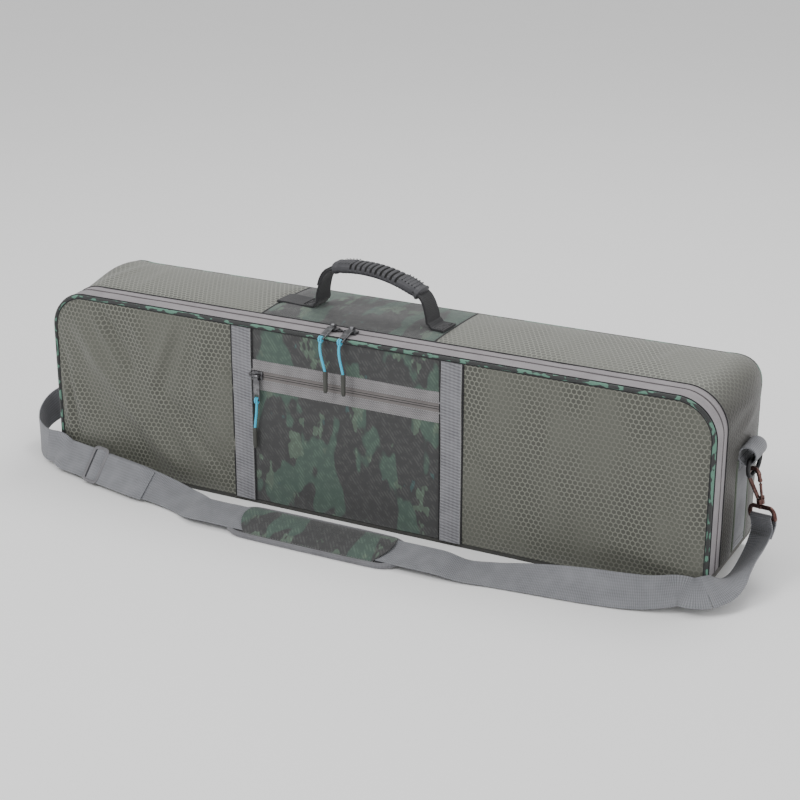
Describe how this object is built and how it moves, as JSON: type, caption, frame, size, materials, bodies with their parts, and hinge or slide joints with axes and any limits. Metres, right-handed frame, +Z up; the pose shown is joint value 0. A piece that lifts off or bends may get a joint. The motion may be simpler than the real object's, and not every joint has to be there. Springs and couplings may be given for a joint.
{
  "type": "rod case",
  "caption": "Long padded soft case with a zipped front lid, printed centre panel with a zip pocket, rubber-gripped top handle and a clip-on shoulder strap.",
  "frame": {"origin": "centre of the case's flat base, on the surface it stands on", "axes": "+X along the case, -Y towards the zipped lid, +Z up towards the handle"},
  "size_m": [0.9312, 0.2464, 0.2839],
  "materials": {
    "ripstop": "grey-green honeycomb ripstop with a coated sheen",
    "camo": "printed camouflage fabric, charcoal with green patches",
    "base_fabric": "coarse dark base fabric",
    "foam": "closed-cell foam board",
    "lining": "plain dark lining",
    "piping": "dark piping with mint-green stretches",
    "zip_tape": "coated woven zip tape",
    "zip_coil": "moulded coil",
    "webbing": "ribbed grey webbing",
    "black_webbing": "black webbing",
    "grip_rubber": "moulded rubber, satin",
    "gunmetal": "gunmetal plated",
    "bronze": "bronze-brown plated",
    "cord_blue": "braided bright blue cord",
    "tip_rubber": "soft rubber",
    "black_plastic": "moulded plastic",
    "grey_plastic": "moulded plastic",
    "pad_foam": "dark backing over foam, grey binding"
  },
  "bodies": {
    "case": {"back_panel": "ripstop", "back_board": "foam", "gusset_left": "ripstop", "gusset_right": "ripstop", "top_print_panel": "camo", "base_panel": "base_fabric", "lid_hinge_strip": "base_fabric", "gusset_foam": "foam", "case_lining": "lining", "back_piping": "piping", "case_zip_tape": "zip_tape", "case_zip_coil": "zip_coil", "divider_left": "lining", "divider_right": "lining", "handle_feet": "black_webbing", "end_tab_left": "webbing", "end_tab_right": "webbing"},
    "lid": {"lid_panel_left": "ripstop", "lid_panel_right": "ripstop", "lid_print_panel": "camo", "lid_board": "foam", "lid_lining": "lining", "lid_piping": "piping", "lid_zip_tape": "zip_tape", "lid_zip_coil": "zip_coil", "lid_band_left": "webbing", "lid_band_right": "webbing", "pocket_tape_upper": "zip_tape", "pocket_tape_lower": "zip_tape", "pocket_zip": "zip_tape", "pocket_liner": "lining"},
    "zip_slider_left": {"slider_left": "gunmetal"},
    "tab_left": {"pull_left": "gunmetal"},
    "cord_end_left": {"cord_left": "cord_blue", "cord_tip_left": "tip_rubber"},
    "zip_slider_right": {"slider_right": "gunmetal"},
    "tab_right": {"pull_right": "gunmetal"},
    "cord_end_right": {"cord_right": "cord_blue", "cord_tip_right": "tip_rubber"},
    "zip_slider_pocket": {"slider_pocket": "gunmetal"},
    "tab_pocket": {"pull_pocket": "gunmetal"},
    "cord_end_pocket": {"cord_pocket": "cord_blue", "cord_tip_pocket": "tip_rubber"},
    "handle": {"handle_webbing": "black_webbing", "handle_grip": "grip_rubber"},
    "ring_left": {"d_ring_left": "black_plastic"},
    "hook_left": {"snap_hook_left": "bronze"},
    "gate_left": {"hook_gate_left": "bronze"},
    "loop_left": {"hook_loop_left": "bronze"},
    "ring_right": {"d_ring_right": "black_plastic"},
    "hook_right": {"snap_hook_right": "bronze"},
    "gate_right": {"hook_gate_right": "bronze"},
    "loop_right": {"hook_loop_right": "bronze"},
    "strap": {"strap_end_left": "webbing", "strap_end_right": "webbing", "strap_front": "webbing", "strap_tail": "webbing"},
    "pad": {"pad_base": "pad_foam", "pad_sleeve": "camo"},
    "adjuster": {"strap_adjuster": "grey_plastic"}
  },
  "joints": [
    {"name": "lid_hinge", "type": "hinge", "parent": "case", "child": "lid", "pos_m": [0, -0.076, 0.0045], "axis": [1, 0, 0], "range_deg": [0, 88], "deforming": ["strap_front", "strap_tail", "pad_base", "pad_sleeve", "strap_adjuster", "strap_end_left", "strap_end_right"]},
    {"name": "zip_slide_left", "type": "slide", "parent": "lid", "child": "zip_slider_left", "axis": [1, 0, 0], "range_m": [-0.32, 0]},
    {"name": "pull_lift_left", "type": "hinge", "parent": "zip_slider_left", "child": "tab_left", "pos_m": [-0.039, -0.056, 0.227], "axis": [1, 0, 0], "range_deg": [-75, 0]},
    {"name": "cord_swing_left", "type": "hinge", "parent": "tab_left", "child": "cord_end_left", "pos_m": [-0.039, -0.08499, 0.2192], "axis": [0, -1, 0], "range_deg": [-28, 8]},
    {"name": "zip_slide_right", "type": "slide", "parent": "lid", "child": "zip_slider_right", "axis": [1, 0, 0], "range_m": [0, 0.372]},
    {"name": "pull_lift_right", "type": "hinge", "parent": "zip_slider_right", "child": "tab_right", "pos_m": [-0.015, -0.056, 0.227], "axis": [1, 0, 0], "range_deg": [-75, 0]},
    {"name": "cord_swing_right", "type": "hinge", "parent": "tab_right", "child": "cord_end_right", "pos_m": [-0.015, -0.08499, 0.2192], "axis": [0, -1, 0], "range_deg": [-8, 28]},
    {"name": "zip_slide_pocket", "type": "slide", "parent": "lid", "child": "zip_slider_pocket", "axis": [1, 0, 0], "range_m": [0, 0.215]},
    {"name": "pull_lift_pocket", "type": "hinge", "parent": "zip_slider_pocket", "child": "tab_pocket", "pos_m": [-0.125, -0.0823, 0.1605], "axis": [1, 0, 0], "range_deg": [-90, 0]},
    {"name": "cord_swing_pocket", "type": "hinge", "parent": "tab_pocket", "child": "cord_end_pocket", "pos_m": [-0.125, -0.0823, 0.1313], "axis": [0, -1, 0], "range_deg": [-25, 25]},
    {"name": "handle_swing", "type": "hinge", "parent": "case", "child": "handle", "pos_m": [-0.016, 0.005, 0.2215], "axis": [0.999, -0.0436, 0], "range_deg": [-60, 60], "stiffness_Nm_per_rad": 0.3, "deforming": ["handle_webbing"]},
    {"name": "ring_tilt_left", "type": "hinge", "parent": "case", "child": "ring_left", "pos_m": [-0.426, 0.018, 0.132], "axis": [0, 1, 0], "range_deg": [-1, 5], "deforming": ["strap_end_left"]},
    {"name": "hook_twist_left", "type": "hinge", "parent": "ring_left", "child": "hook_left", "pos_m": [-0.426, 0.018, 0.112], "axis": [0.2364, 0.1053, 0.9659], "range_deg": [-10, 10], "deforming": ["strap_end_left"]},
    {"name": "hook_swivel_left", "type": "hinge", "parent": "hook_left", "child": "loop_left", "pos_m": [-0.43825, 0.01255, 0.07936], "axis": [0.2364, 0.1053, 0.9659], "range_deg": [-10, 10], "deforming": ["strap_end_left"]},
    {"name": "gate_open_left", "type": "hinge", "parent": "hook_left", "child": "gate_left", "pos_m": [-0.43833, 0.01251, 0.08829], "axis": [0.4067, -0.9135, 0], "range_deg": [-20, 0], "stiffness_Nm_per_rad": 0.02},
    {"name": "ring_tilt_right", "type": "hinge", "parent": "case", "child": "ring_right", "pos_m": [0.426, 0.018, 0.132], "axis": [0, -1, 0], "range_deg": [-1, 5], "deforming": ["strap_end_right"]},
    {"name": "hook_twist_right", "type": "hinge", "parent": "ring_right", "child": "hook_right", "pos_m": [0.426, 0.018, 0.112], "axis": [-0.2364, 0.1053, 0.9659], "range_deg": [-10, 10], "deforming": ["strap_end_right"]},
    {"name": "hook_swivel_right", "type": "hinge", "parent": "hook_right", "child": "loop_right", "pos_m": [0.43825, 0.01255, 0.07936], "axis": [-0.2364, 0.1053, 0.9659], "range_deg": [-10, 10], "deforming": ["strap_end_right"]},
    {"name": "gate_open_right", "type": "hinge", "parent": "hook_right", "child": "gate_right", "pos_m": [0.43833, 0.01251, 0.08829], "axis": [0.4067, 0.9135, 0], "range_deg": [-20, 0], "stiffness_Nm_per_rad": 0.02},
    {"name": "strap_swing", "type": "hinge", "parent": "case", "child": "strap", "pos_m": [0, 0.01118, 0.0668], "axis": [1, 0, 0], "range_deg": [-30, 0], "deforming": ["strap_end_left", "strap_end_right"]},
    {"name": "pad_slide", "type": "slide", "parent": "strap", "child": "pad", "axis": [1, 0, 0], "range_m": [-0.025, 0.025]},
    {"name": "adjuster_slide", "type": "slide", "parent": "strap", "child": "adjuster", "axis": [0.9782, -0.2079, 0], "range_m": [-0.03, 0]}
  ]
}
